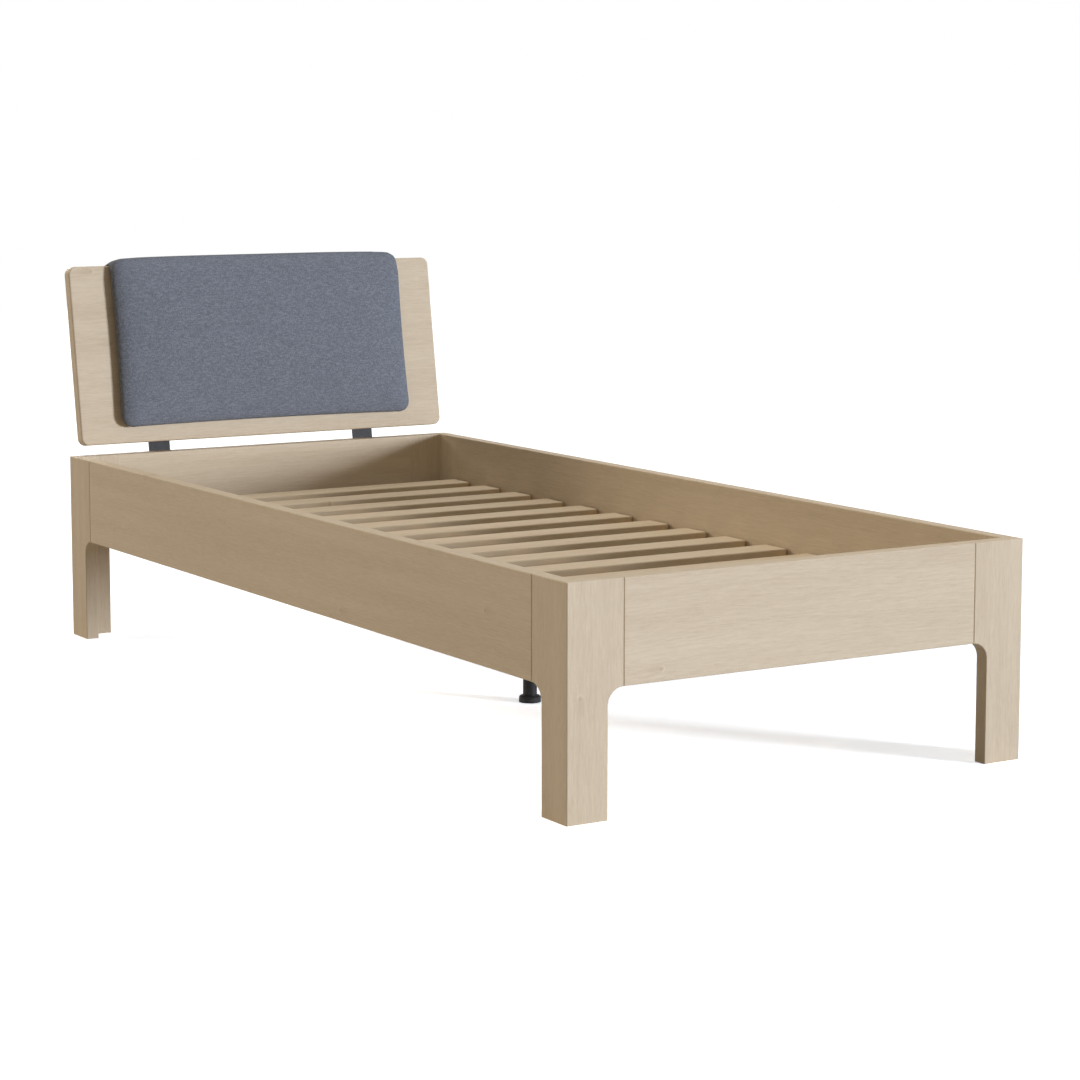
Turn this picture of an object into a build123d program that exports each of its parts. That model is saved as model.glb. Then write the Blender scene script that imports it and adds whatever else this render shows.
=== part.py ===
"""Single bed frame: mitred L-shaped legs, doweled rails, a slatted base and a leaning headboard.

Millimetres. X runs across the bed, Y from the foot end to the head end, Z up from the floor.
The origin is on the floor, at the middle of the whole bed's outline.
"""

import os
from math import atan2, cos, degrees, radians, sin, tan

from build123d import *

# Outer frame
bed_width = 960.0
bed_length = 2090.0
frame_height = 402.0
rail_height = 181.0
board_thickness = 28.0
leg_width = 80.0  # each leg board at the floor
post_width = 110.0  # each leg board at rail height
edge_radius = 2.0  # eased long edges of the boards
corner_flat = 0.9  # depth of the small flat on each outer corner
groove_depth = 1.6  # V groove where a rail meets a leg

# Dowels between rails and legs, loose tongues in the mitres
dowel_diameter = 10.0
dowel_length = 60.0
dowel_count = 3  # in each joint
dowel_pitch = 55.0
dowel_fit = 0.1
dowel_end_room = 0.8
tongue_thickness = 4.0
tongue_width = 16.0
tongue_setback = 23.0  # from the outer corner to the tongue, along the mitre
tongue_stop = 25.0  # wood left above and below the tongue

# Corner brackets, their bolts and threaded inserts
bracket_wing = 70.0
bracket_height = 56.0
bracket_thickness = 3.0
bracket_bend = 4.0
bracket_tip = 8.0  # rounded corners of the wings
bracket_lift = 8.0  # above the rails' lower edge
bracket_bolt_reach = 42.0  # from the inside corner
bracket_bolt_pitch = 30.0
bracket_bolt_count = 2  # in each wing
bolt_diameter = 8.0
bolt_length = 18.0
bolt_head_diameter = 14.0
bolt_head_height = 4.4
bolt_head_round = 2.6
bolt_socket = 5.0  # across the corners
bolt_socket_depth = 2.4
bolt_fit = 0.1
insert_diameter = 12.0
insert_length = 16.0
insert_fit = 0.1
insert_end_room = 0.8

# Wood screws
screw_diameter = 5.0
screw_head_diameter = 10.0
screw_head_height = 3.0
screw_head_round = 1.5
screw_point = 4.0
screw_fit = 0.1
screw_end_room = 0.8

# Slatted base
well_depth = 100.0  # from the rails' top down to the slats
slat_count = 14
slat_width = 70.0
slat_thickness = 18.0
slat_corner = 4.0
slat_edge = 3.0
slat_end_gap = 4.0  # between a slat's end and the rail
slat_setback = 4.0  # from a ledger's end to the first slat
slat_screw_length = 40.0
slat_screw_inset = 15.0  # from the ledger's inner face
ledger_width = 30.0
ledger_height = 40.0
ledger_gap = 4.0  # between a ledger's end and the corner bracket
ledger_screw_count = 7
ledger_screw_length = 50.0
ledger_screw_inset = 60.0
tape_width = 25.0
tape_thickness = 1.5
tape_spacing = 450.0

# Centre beam and its hangers
beam_width = 45.0
beam_height = 60.0
beam_end_gap = 0.5
hanger_thickness = 2.5
hanger_reach = 50.0
hanger_wall = 46.0
hanger_ear = 30.0
hanger_fit = 0.3
hanger_screw_pitch = 24.0
plate_screw_length = 20.0

# Centre leg
centre_leg_offset = 140.0  # from the frame's middle towards the foot end
leg_plate_length = 90.0
leg_plate_width = 40.0
leg_plate_thickness = 4.0
leg_plate_corner = 5.0
leg_plate_screw_inset = 10.0
sleeve_diameter = 26.0
sleeve_length = 26.0
stud_diameter = 14.0
stud_engagement = 16.0
stud_fit = 0.1
stud_lip = 3.0
plug_length = 15.0
plug_fit = 0.1
tube_diameter = 28.0
tube_wall = 2.0
leg_travel = 12.0
leg_travel_room = 2.0
pad_diameter = 44.0
pad_height = 13.0
pad_round = 4.0
pivot_length = 10.0
pivot_fit = 0.1

# Headboard panel and its uprights
panel_width = 916.0
panel_height = 400.0
panel_thickness = 28.0
panel_corner = 17.0
panel_edge = 4.0
panel_tilt = 9.0
panel_lift = 41.0  # from the uprights' bend to the panel, along the slope
bend_drop = 21.0  # from the rails' top down to the uprights' bend
upright_width = 50.0
upright_thickness = 6.0
upright_corner = 10.0
upright_spacing = 520.0
upright_foot = 140.0  # below the bend, on the head rail
upright_rise = 300.0  # above the bend, on the panel
rail_bolt_first = 30.0  # below the bend
rail_bolt_pitch = 80.0
rail_bolt_count = 2
panel_bolt_first = 45.0  # above the panel's lower edge
panel_bolt_pitch = 85.0
panel_bolt_count = 3

# Cushion hung over the headboard
cushion_width = 732.0
cushion_height = 385.0
cushion_thickness = 36.0
cushion_crown = 6.0
cushion_roll = 18.0  # stands this far above the panel's top
cushion_corner = 28.0
cushion_draw = 4.0  # sides drawn in between the corners
cushion_fit = 0.3
cushion_crown_inset = 110.0  # the crown's top stands in from the pad's outline
cushion_steps = [(0.0, 7.0), (0.22, 1.5), (0.5, 0.0), (0.78, 4.0), (1.0, 20.0)]  # share of depth, inset
cushion_end_step = 4.0  # the roll's ends stop short of the pad's sides
roll_radius = 12.0  # round the back of the roll and the flap
flap_thickness = 14.0
flap_drop = 120.0

# Places that follow from the sizes above
UP = Vector(0, 0, 1)
tilt = radians(panel_tilt)
rail_bottom = frame_height - rail_height
rail_middle = frame_height - rail_height / 2
leg_curve = post_width - leg_width
groove_side = groove_depth * 2**0.5
outer_half = bed_width / 2
inner_half = outer_half - board_thickness
bend_height = frame_height - bend_drop
panel_top = panel_lift + panel_height
flap_back = cushion_fit + flap_thickness
roll_top = panel_top + cushion_roll
overhang = (roll_top - roll_radius) * sin(tilt) + (flap_back - roll_radius) * cos(tilt) + roll_radius
head_end = (bed_length - overhang) / 2
foot_end = -(bed_length + overhang) / 2
frame_middle = (head_end + foot_end) / 2
inner_foot = foot_end + board_thickness
inner_head = head_end - board_thickness
slat_top = frame_height - well_depth
slat_bottom = slat_top - slat_thickness
beam_bottom = slat_bottom - beam_height
bracket_bottom = rail_bottom + bracket_lift
bracket_middle = bracket_bottom + bracket_height / 2
ledger_start = bracket_wing + ledger_gap
slat_first = inner_foot + ledger_start + slat_setback + slat_width / 2
slat_last = inner_head - ledger_start - slat_setback - slat_width / 2
slat_pitch = (slat_last - slat_first) / (slat_count - 1)
leg_station = frame_middle - centre_leg_offset
screw_hole = screw_diameter / 2 + screw_fit
bolt_hole = bolt_diameter / 2 + bolt_fit
insert_hole = insert_diameter / 2 + insert_fit
insert_depth = max(insert_length, bolt_length) + insert_end_room

# The leaning plane: X across, local Y up the slope, local Z forward; the panel's back lies in it
slope = Plane((0, head_end, bend_height), x_dir=(1, 0, 0), z_dir=(0, -cos(tilt), sin(tilt)))

sides = {"left": -1, "right": 1}
ends = {"foot": (foot_end, -1), "head": (head_end, 1)}

os.makedirs("parts", exist_ok=True)


def keep(piece, name):
    """Name a finished piece and write its file."""
    piece.part.label = name
    export_step(piece.part, f"parts/{name}.step")


def spread(count, pitch):
    """Offsets of evenly pitched copies about a middle."""
    return [(index - (count - 1) / 2) * pitch for index in range(count)]


# The four corners, each with the two directions that its boards run in
corners = {}
for end, (end_y, toward_head) in ends.items():
    for side, toward_right in sides.items():
        corner = Vector(toward_right * outer_half, end_y, 0)
        corners[f"{end}_{side}"] = (corner, Vector(-toward_right, 0, 0), Vector(0, -toward_head, 0))


def dowel_seats(corner, along, inward):
    """Planes at the dowels of one leg board, looking out of its joint face."""
    middle = corner + along * post_width + inward * (board_thickness / 2)
    return [Plane(middle + UP * (rail_middle + dz), z_dir=along) for dz in spread(dowel_count, dowel_pitch)]


def insert_seats(corner, along, inward):
    """Planes at the threaded inserts of one leg board, looking into the bed."""
    middle = corner + along * (board_thickness + bracket_bolt_reach) + inward * board_thickness
    heights = [bracket_middle + dz for dz in spread(bracket_bolt_count, bracket_bolt_pitch)]
    return [Plane(middle + UP * height, z_dir=inward) for height in heights]


def tongue_place(corner, along, inward):
    """Middle of a mitre's loose tongue in plan, and the angle that it lies at."""
    middle = corner + (along + inward).normalized() * tongue_setback
    across = along - inward
    return (middle.X, middle.Y), degrees(atan2(across.Y, across.X))


# Leg boards: post above, narrow foot below a hollow curve, mitred at the outer corner
def leg_board(corner, along, inward):
    """One board of a leg, running along one side of the bed from the outer corner."""
    outside = Plane(corner, x_dir=along, z_dir=along.cross(UP))
    depth = board_thickness * outside.z_dir.dot(inward)
    tongue_at, tongue_angle = tongue_place(corner, along, inward)
    joint_line = corner + along * post_width
    with BuildPart() as board:
        with BuildSketch(outside):
            with BuildLine():
                CenterArc((post_width, rail_bottom - leg_curve), leg_curve, 90, 90)
                Polyline(
                    (leg_width, rail_bottom - leg_curve),
                    (leg_width, 0),
                    (0, 0),
                    (0, frame_height),
                    (post_width, frame_height),
                    (post_width, rail_bottom),
                )
            make_face()
        extrude(amount=depth)
        long_edges = board.edges().filter_by(lambda edge: abs(edge.tangent_at(0.5).dot(inward)) < 0.5)
        off_floor = long_edges.filter_by(lambda edge: edge.center().Z > edge_radius)
        reaches = [(edge, (edge.center() - corner).dot(along)) for edge in off_floor]
        fillet([edge for edge, reach in reaches if 0 < reach < post_width], edge_radius)
        split(bisect_by=Plane(corner, z_dir=along - inward), keep=Keep.TOP)
        split(bisect_by=Plane(corner + (along + inward).normalized() * corner_flat, z_dir=along + inward))
        with BuildSketch(Plane.XY):
            with Locations((joint_line.X, joint_line.Y)):
                Rectangle(groove_side, groove_side, rotation=45)
        extrude(amount=frame_height, mode=Mode.SUBTRACT)
        with BuildSketch(Plane.XY.offset(tongue_stop)):
            with Locations(tongue_at):
                Rectangle(tongue_width, tongue_thickness, rotation=tongue_angle)
        extrude(amount=frame_height - 2 * tongue_stop, mode=Mode.SUBTRACT)
        with Locations(*dowel_seats(corner, along, inward)):
            Hole(dowel_diameter / 2 + dowel_fit, dowel_length / 2 + dowel_end_room)
        with Locations(*insert_seats(corner, along, inward)):
            Hole(insert_hole, insert_depth)
    return board


for name, (corner, across, lengthwise) in corners.items():
    keep(leg_board(corner, across, lengthwise), f"{name}_leg_end_board")
    keep(leg_board(corner, lengthwise, across), f"{name}_leg_side_board")

with BuildPart() as tongues:
    for corner, across, lengthwise in corners.values():
        tongue_at, tongue_angle = tongue_place(corner, across, lengthwise)
        with BuildSketch(Plane.XY.offset(tongue_stop)):
            with Locations(tongue_at):
                Rectangle(tongue_width, tongue_thickness, rotation=tongue_angle)
        extrude(amount=frame_height - 2 * tongue_stop)
keep(tongues, "mitre_tongues")

# Dowels: one set for each of the eight joints between a leg board and a rail
all_dowel_seats = []
for corner, across, lengthwise in corners.values():
    all_dowel_seats += dowel_seats(corner, across, lengthwise)
    all_dowel_seats += dowel_seats(corner, lengthwise, across)

with BuildPart() as dowels:
    with Locations(*all_dowel_seats):
        Cylinder(dowel_diameter / 2, dowel_length)
keep(dowels, "rail_dowels")


# Rails
def ledger_screw_seats(toward_right):
    """Planes at a ledger's screws, on its inner face, looking into the bed."""
    first = inner_foot + ledger_start + ledger_screw_inset
    last = inner_head - ledger_start - ledger_screw_inset
    face = toward_right * (inner_half - ledger_width)
    height = slat_bottom - ledger_height / 2
    step = (last - first) / (ledger_screw_count - 1)
    return [
        Plane((face, first + index * step, height), z_dir=(-toward_right, 0, 0))
        for index in range(ledger_screw_count)
    ]


def hanger_screw_seats(face_y, toward_head):
    """Planes at a beam hanger's screws, on its ears, looking into the bed."""
    reach = beam_width / 2 + hanger_fit + hanger_thickness + hanger_ear / 2
    height = beam_bottom - hanger_thickness + hanger_wall / 2
    face = face_y - toward_head * hanger_thickness
    return [
        Plane((x, face, height + dz), z_dir=(0, -toward_head, 0))
        for x in (-reach, reach)
        for dz in spread(2, hanger_screw_pitch)
    ]


def rail(first_corner, last_corner, inward):
    """One rail between two legs, with a V groove and dowel holes at each end."""
    run = last_corner - first_corner
    along = run.normalized()
    length = run.length - 2 * post_width
    face = first_corner + along * post_width
    with BuildPart() as beam:
        with BuildSketch(Plane(face, x_dir=inward, z_dir=along)):
            local_up = along.cross(inward).Z
            with Locations((board_thickness / 2, local_up * rail_middle)):
                Rectangle(board_thickness, rail_height)
        extrude(amount=length)
        fillet(beam.edges().filter_by(lambda edge: edge.length > rail_height + 1), edge_radius)
        with BuildSketch(Plane.XY):
            with Locations((face.X, face.Y), ((face + along * length).X, (face + along * length).Y)):
                Rectangle(groove_side, groove_side, rotation=45)
        extrude(amount=frame_height, mode=Mode.SUBTRACT)
        starts = dowel_seats(first_corner, along, inward)
        finishes = dowel_seats(last_corner, along * -1, inward)
        with Locations(*[Plane(seat.origin, z_dir=seat.z_dir * -1) for seat in starts + finishes]):
            Hole(dowel_diameter / 2 + dowel_fit, dowel_length / 2 + dowel_end_room)
    return beam


for side, toward_right in sides.items():
    foot_corner, inward = corners[f"foot_{side}"][:2]
    head_corner = corners[f"head_{side}"][0]
    plain_rail = rail(foot_corner, head_corner, inward)
    with BuildPart() as side_rail:
        add(plain_rail.part)
        pilots = [seat.offset(-ledger_width) for seat in ledger_screw_seats(toward_right)]
        with Locations(*pilots):
            Hole(screw_hole, ledger_screw_length - ledger_width + screw_end_room)
    keep(side_rail, f"{side}_side_rail")


def upright_rail_seats(x):
    """Planes at an upright's bolts in the head rail, on the rail's outer face, looking out."""
    heights = [bend_height - rail_bolt_first - index * rail_bolt_pitch for index in range(rail_bolt_count)]
    return [Plane((x, head_end, height), z_dir=(0, 1, 0)) for height in heights]


def upright_panel_seats(x):
    """Planes at an upright's bolts in the panel, on the panel's back, looking out."""
    rises = [panel_lift + panel_bolt_first + index * panel_bolt_pitch for index in range(panel_bolt_count)]
    return [Plane(slope.from_local_coords((x, rise, 0)), z_dir=slope.z_dir * -1) for rise in rises]


upright_places = {side: toward_right * upright_spacing / 2 for side, toward_right in sides.items()}

for end, (end_y, toward_head) in ends.items():
    left_corner, _, inward = corners[f"{end}_left"]
    right_corner = corners[f"{end}_right"][0]
    plain_rail = rail(left_corner, right_corner, inward)
    inner_face = end_y - toward_head * board_thickness
    with BuildPart() as end_rail:
        add(plain_rail.part)
        pilots = [seat.offset(-hanger_thickness) for seat in hanger_screw_seats(inner_face, toward_head)]
        with Locations(*pilots):
            Hole(screw_hole, plate_screw_length - hanger_thickness + screw_end_room)
        if end == "head":
            for x in upright_places.values():
                with Locations(*upright_rail_seats(x)):
                    Hole(insert_hole, insert_depth)
    keep(end_rail, f"{end}_rail")

# Fasteners, each standing on the origin with its shank down
with BuildPart() as bolt:
    Cylinder(bolt_head_diameter / 2, bolt_head_height, align=(Align.CENTER, Align.CENTER, Align.MIN))
    fillet(bolt.edges().sort_by(Axis.Z)[-1], bolt_head_round)
    with BuildSketch(Plane.XY.offset(bolt_head_height)):
        RegularPolygon(bolt_socket / 2, 6)
    extrude(amount=-bolt_socket_depth, mode=Mode.SUBTRACT)
    Cylinder(bolt_diameter / 2, bolt_length, align=(Align.CENTER, Align.CENTER, Align.MAX))

with BuildPart() as insert:
    with BuildSketch(Plane.XY):
        Circle(insert_diameter / 2)
        Circle(bolt_hole, mode=Mode.SUBTRACT)
    extrude(amount=-insert_length)


def countersunk_screw(length):
    """A wood screw whose flat head lies in the plane that it is driven through."""
    head = screw_head_diameter / 2
    shank = screw_diameter / 2
    with BuildPart() as screw:
        with BuildSketch(Plane.XZ):
            with BuildLine():
                Polyline(
                    (0, 0),
                    (head, 0),
                    (shank, shank - head),
                    (shank, screw_point - length),
                    (0, -length),
                    close=True,
                )
            make_face()
        revolve(axis=Axis.Z)
    return screw


def pan_head_screw(length):
    """A wood screw whose domed head stands on the plate that it holds."""
    shank = screw_diameter / 2
    with BuildPart() as screw:
        Cylinder(screw_head_diameter / 2, screw_head_height, align=(Align.CENTER, Align.CENTER, Align.MIN))
        fillet(screw.edges().sort_by(Axis.Z)[-1], screw_head_round)
        with BuildSketch(Plane.XZ):
            with BuildLine():
                Polyline((0, 0), (shank, 0), (shank, screw_point - length), (0, -length), close=True)
            make_face()
        revolve(axis=Axis.Z)
    return screw


ledger_screw = countersunk_screw(ledger_screw_length)
slat_screw = countersunk_screw(slat_screw_length)
plate_screw = pan_head_screw(plate_screw_length)

# Corner brackets with their bolts and inserts
all_insert_seats = []
for name, (corner, across, lengthwise) in corners.items():
    seats = insert_seats(corner, across, lengthwise) + insert_seats(corner, lengthwise, across)
    all_insert_seats += seats
    inside = corner + (across + lengthwise) * board_thickness
    outline = [
        (0, 0),
        (bracket_wing, 0),
        (bracket_wing, bracket_thickness),
        (bracket_thickness, bracket_thickness),
        (bracket_thickness, bracket_wing),
        (0, bracket_wing),
    ]
    points = [inside + across * u + lengthwise * v for u, v in outline]
    with BuildPart() as bracket:
        with BuildSketch(Plane.XY.offset(bracket_bottom)) as bracket_plan:
            with BuildLine():
                Polyline(*[(point.X, point.Y) for point in points], close=True)
            make_face()
            by_corner = bracket_plan.vertices().sort_by_distance(Vector(inside.X, inside.Y, 0))
            fillet(by_corner[0], bracket_bend + bracket_thickness)
            by_corner = bracket_plan.vertices().sort_by_distance(Vector(points[3].X, points[3].Y, 0))
            fillet(by_corner[0], bracket_bend)
        extrude(amount=bracket_height)
        fillet(bracket.edges().filter_by(lambda edge: edge.length < bracket_thickness + 0.1), bracket_tip)
        with Locations(*[seat.offset(bracket_thickness) for seat in seats]):
            Hole(bolt_hole, bracket_thickness)
    keep(bracket, f"{name}_bracket")

with BuildPart() as bracket_bolts:
    with Locations(*[seat.offset(bracket_thickness) for seat in all_insert_seats]):
        add(bolt.part)
keep(bracket_bolts, "bracket_bolts")

with BuildPart() as bracket_inserts:
    with Locations(*all_insert_seats):
        add(insert.part)
keep(bracket_inserts, "bracket_inserts")

# Ledgers along the side rails
slat_places = [slat_first + index * slat_pitch for index in range(slat_count)]
end_slat_places = [slat_places[0], slat_places[-1]]


def slat_screw_seats(y):
    """Planes at the two screws of an end slat, on its top."""
    reach = inner_half - ledger_width + slat_screw_inset
    return [Plane((x, y, slat_top), z_dir=(0, 0, 1)) for x in (-reach, reach)]


all_ledger_seats = []
for side, toward_right in sides.items():
    seats = ledger_screw_seats(toward_right)
    all_ledger_seats += seats
    length = inner_head - inner_foot - 2 * ledger_start
    with BuildPart() as ledger:
        with BuildSketch(Plane.XY.offset(slat_bottom)):
            with Locations((toward_right * (inner_half - ledger_width / 2), frame_middle)):
                Rectangle(ledger_width, length)
        extrude(amount=-ledger_height)
        inner_edges = ledger.edges().filter_by(Axis.Y).sort_by(Axis.X)
        fillet(inner_edges[:2] if toward_right > 0 else inner_edges[-2:], edge_radius)
        with Locations(*seats):
            CounterSinkHole(screw_hole, screw_head_diameter / 2 + screw_fit, ledger_width)
        for y in end_slat_places:
            own_seat = [seat for seat in slat_screw_seats(y) if seat.origin.X * toward_right > 0]
            with Locations(*[seat.offset(-slat_thickness) for seat in own_seat]):
                Hole(screw_hole, slat_screw_length - slat_thickness + screw_end_room)
    keep(ledger, f"{side}_slat_ledger")

with BuildPart() as ledger_screws:
    with Locations(*all_ledger_seats):
        add(ledger_screw.part)
keep(ledger_screws, "ledger_screws")

# Slats, with the end ones screwed down
for index, y in enumerate(slat_places):
    with BuildPart() as slat:
        with BuildSketch(Plane.XY.offset(slat_bottom)):
            with Locations((0, y)):
                RectangleRounded(2 * (inner_half - slat_end_gap), slat_width, slat_corner)
        extrude(amount=slat_thickness)
        fillet(slat.edges().group_by(Axis.Z)[-1], slat_edge)
        if y in end_slat_places:
            with Locations(*slat_screw_seats(y)):
                CounterSinkHole(screw_hole, screw_head_diameter / 2 + screw_fit, slat_thickness)
    keep(slat, f"slat_{index + 1:02d}")

with BuildPart() as slat_screws:
    for y in end_slat_places:
        with Locations(*slat_screw_seats(y)):
            add(slat_screw.part)
keep(slat_screws, "slat_screws")

# Webbing tapes under the slats
for side, toward_right in sides.items():
    with BuildPart() as tape:
        with BuildSketch(Plane.XY.offset(slat_bottom)):
            with Locations((toward_right * tape_spacing / 2, (slat_first + slat_last) / 2)):
                Rectangle(tape_width, slat_last - slat_first + slat_width)
        extrude(amount=-tape_thickness)
    keep(tape, f"{side}_slat_tape")

# Centre beam in its hangers
leg_screw_seats = [
    Plane((dx, leg_station + dy, beam_bottom - leg_plate_thickness), z_dir=(0, 0, -1))
    for dx in spread(2, leg_plate_width - 2 * leg_plate_screw_inset)
    for dy in spread(2, leg_plate_length - 2 * leg_plate_screw_inset)
]

with BuildPart() as centre_beam:
    with BuildSketch(Plane.XY.offset(beam_bottom)):
        with Locations((0, frame_middle)):
            Rectangle(beam_width, inner_head - inner_foot - 2 * beam_end_gap)
    extrude(amount=beam_height)
    fillet(centre_beam.edges().filter_by(Axis.Y), edge_radius)
    with Locations(*[seat.offset(-leg_plate_thickness) for seat in leg_screw_seats]):
        Hole(screw_hole, plate_screw_length - leg_plate_thickness + screw_end_room)
keep(centre_beam, "centre_beam")

all_hanger_seats = []
for end, (end_y, toward_head) in ends.items():
    face = end_y - toward_head * board_thickness
    seats = hanger_screw_seats(face, toward_head)
    all_hanger_seats += seats
    inside_half = beam_width / 2 + hanger_fit
    outside_half = inside_half + hanger_thickness
    low = beam_bottom - hanger_thickness
    rail_face = Plane((0, face, low), x_dir=(toward_head, 0, 0), z_dir=(0, -toward_head, 0))
    with BuildPart() as hanger:
        with BuildSketch(rail_face):
            Rectangle(2 * outside_half, hanger_wall, align=(Align.CENTER, Align.MIN))
            with Locations((0, hanger_thickness)):
                Rectangle(2 * inside_half, hanger_wall, align=(Align.CENTER, Align.MIN), mode=Mode.SUBTRACT)
        extrude(amount=hanger_reach)
        with BuildSketch(rail_face):
            for toward_right in sides.values():
                with Locations((toward_right * (outside_half + hanger_ear / 2), hanger_wall / 2)):
                    Rectangle(hanger_ear, hanger_wall)
        extrude(amount=hanger_thickness)
        with Locations(*seats):
            Hole(screw_hole, hanger_thickness)
    keep(hanger, f"{end}_beam_hanger")

with BuildPart() as hanger_screws:
    with Locations(*all_hanger_seats):
        add(plate_screw.part)
keep(hanger_screws, "hanger_screws")

# Centre leg: plate and threaded sleeve above, a tube that screws up into it, a swivelling pad below
plate_bottom = beam_bottom - leg_plate_thickness
sleeve_bottom = plate_bottom - sleeve_length
lip_top = sleeve_bottom - leg_travel - leg_travel_room
tube_top = lip_top - stud_lip
tube_bore = tube_diameter / 2 - tube_wall

with BuildPart() as leg_plate:
    with BuildSketch(Plane.XY.offset(plate_bottom)):
        with Locations((0, leg_station)):
            RectangleRounded(leg_plate_width, leg_plate_length, leg_plate_corner)
            Circle(stud_diameter / 2 + stud_fit, mode=Mode.SUBTRACT)
    extrude(amount=leg_plate_thickness)
    with Locations(*leg_screw_seats):
        Hole(screw_hole, leg_plate_thickness)
keep(leg_plate, "centre_leg_plate")

with BuildPart() as sleeve:
    with BuildSketch(Plane.XY.offset(plate_bottom)):
        with Locations((0, leg_station)):
            Circle(sleeve_diameter / 2)
            Circle(stud_diameter / 2 + stud_fit, mode=Mode.SUBTRACT)
    extrude(amount=-sleeve_length)
keep(sleeve, "centre_leg_sleeve")

with BuildPart() as leg_screws:
    with Locations(*leg_screw_seats):
        add(plate_screw.part)
keep(leg_screws, "centre_leg_screws")

with BuildPart() as leg_tube:
    with BuildSketch(Plane.XY.offset(pad_height)):
        with Locations((0, leg_station)):
            Circle(tube_diameter / 2)
            Circle(tube_bore, mode=Mode.SUBTRACT)
    extrude(amount=tube_top - pad_height)
keep(leg_tube, "centre_leg_tube")

with BuildPart() as leg_stud:
    with BuildSketch(Plane((0, leg_station, 0), x_dir=(1, 0, 0), z_dir=(0, -1, 0))):
        with BuildLine():
            Polyline(
                (0, tube_top - plug_length),
                (tube_bore - plug_fit, tube_top - plug_length),
                (tube_bore - plug_fit, tube_top),
                (tube_diameter / 2, tube_top),
                (tube_diameter / 2, lip_top),
                (stud_diameter / 2, lip_top),
                (stud_diameter / 2, sleeve_bottom + stud_engagement),
                (0, sleeve_bottom + stud_engagement),
                close=True,
            )
        make_face()
    revolve(axis=Axis((0, leg_station, 0), (0, 0, 1)))
keep(leg_stud, "centre_leg_stud")

with BuildPart() as pad:
    with Locations((0, leg_station, 0)):
        Cylinder(pad_diameter / 2, pad_height, align=(Align.CENTER, Align.CENTER, Align.MIN))
    fillet(pad.edges().group_by(Axis.Z)[-1], pad_round)
    with Locations((0, leg_station, pad_height)):
        Cylinder(tube_bore - pivot_fit, pivot_length, align=(Align.CENTER, Align.CENTER, Align.MIN))
keep(pad, "centre_leg_pad")

# Headboard panel, leaning back on two cranked uprights
with BuildPart() as panel:
    with BuildSketch(slope):
        with Locations((0, panel_lift + panel_height / 2)):
            RectangleRounded(panel_width, panel_height, panel_corner)
    extrude(amount=panel_thickness)
    outlines = panel.faces().sort_by(Axis(slope.origin, slope.z_dir))
    fillet(outlines[0].edges() + outlines[-1].edges(), panel_edge)
    for x in upright_places.values():
        with Locations(*upright_panel_seats(x)):
            Hole(insert_hole, insert_depth)
keep(panel, "headboard_panel")

headboard_bolt_seats = []
headboard_insert_seats = []
for side, x in upright_places.items():
    wood_seats = upright_rail_seats(x) + upright_panel_seats(x)
    bar_seats = [seat.offset(upright_thickness) for seat in wood_seats]
    headboard_insert_seats += wood_seats
    headboard_bolt_seats += bar_seats
    foot_z = bend_height - upright_foot
    tip = (head_end + upright_rise * sin(tilt), bend_height + upright_rise * cos(tilt))
    with BuildPart() as upright:
        with BuildSketch(Plane.YZ.offset(x - upright_width / 2)):
            with BuildLine():
                Polyline(
                    (head_end, foot_z),
                    (head_end, bend_height),
                    tip,
                    (tip[0] + upright_thickness * cos(tilt), tip[1] - upright_thickness * sin(tilt)),
                    (head_end + upright_thickness, bend_height - upright_thickness * tan(tilt / 2)),
                    (head_end + upright_thickness, foot_z),
                    close=True,
                )
            make_face()
        extrude(amount=upright_width)
        end_faces = upright.faces().filter_by(lambda face: abs(face.normal_at().Z) > 0.5).sort_by(Axis.Z)
        end_edges = end_faces[0].edges() + end_faces[-1].edges()
        fillet(end_edges.filter_by(lambda edge: edge.length < upright_thickness + 0.1), upright_corner)
        with Locations(*bar_seats):
            Hole(bolt_hole, upright_thickness)
    keep(upright, f"{side}_headboard_upright")

with BuildPart() as headboard_bolts:
    with Locations(*headboard_bolt_seats):
        add(bolt.part)
keep(headboard_bolts, "headboard_bolts")

with BuildPart() as headboard_inserts:
    with Locations(*headboard_insert_seats):
        add(insert.part)
keep(headboard_inserts, "headboard_inserts")

# Cushion: a roll over the top edge with a flap behind, then a crowned pad in front with sides drawn in
pad_back = panel_thickness + cushion_fit
pad_front = panel_thickness + cushion_thickness
roll_width = cushion_width - 2 * cushion_end_step
roll_bottom = panel_top - flap_drop
seat_top = panel_top + cushion_fit

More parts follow.
